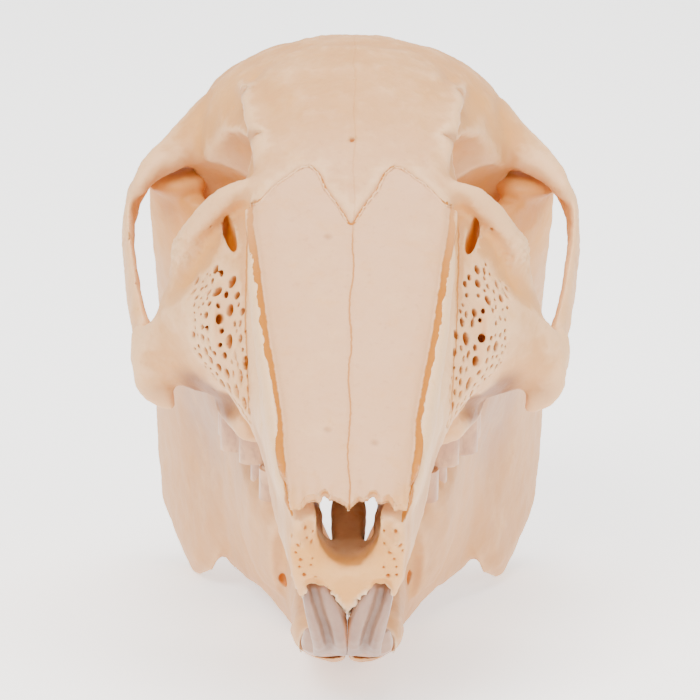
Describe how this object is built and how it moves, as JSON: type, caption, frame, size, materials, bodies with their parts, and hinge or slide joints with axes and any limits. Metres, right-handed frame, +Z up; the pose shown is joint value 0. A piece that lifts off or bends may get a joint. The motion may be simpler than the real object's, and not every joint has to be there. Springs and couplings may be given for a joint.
{
  "type": "rabbit skull",
  "caption": "Dry rabbit skull with its lower jaw in place, snout pointing forward and down, lying on the jaw as on a display shelf.",
  "frame": {"origin": "centre of the footprint, on the surface that the lower jaw lies on", "axes": "+X to the skull's left, +Y towards the back of the head, +Z up"},
  "size_m": [0.043, 0.083, 0.0545],
  "materials": {
    "bone": "dry bone, matt with a faint sheen",
    "tooth": "tooth enamel, semi-gloss"
  },
  "bodies": {
    "root": {"nasal_left": "bone", "nasal_right": "bone", "premaxilla_left": "bone", "premaxilla_right": "bone", "maxilla_left": "bone", "maxilla_right": "bone", "lacrimal_left": "bone", "lacrimal_right": "bone", "frontal_left": "bone", "frontal_right": "bone", "parietal_left": "bone", "parietal_right": "bone", "squamosal_left": "bone", "squamosal_right": "bone", "zygomatic_left": "bone", "zygomatic_right": "bone", "bulla_left": "bone", "bulla_right": "bone", "mandible_left": "bone", "mandible_right": "bone", "occipital": "bone", "sphenoid": "bone", "upper_incisor_left": "tooth", "upper_incisor_right": "tooth", "lower_incisor_left": "tooth", "lower_incisor_right": "tooth"}
  },
  "joints": []
}
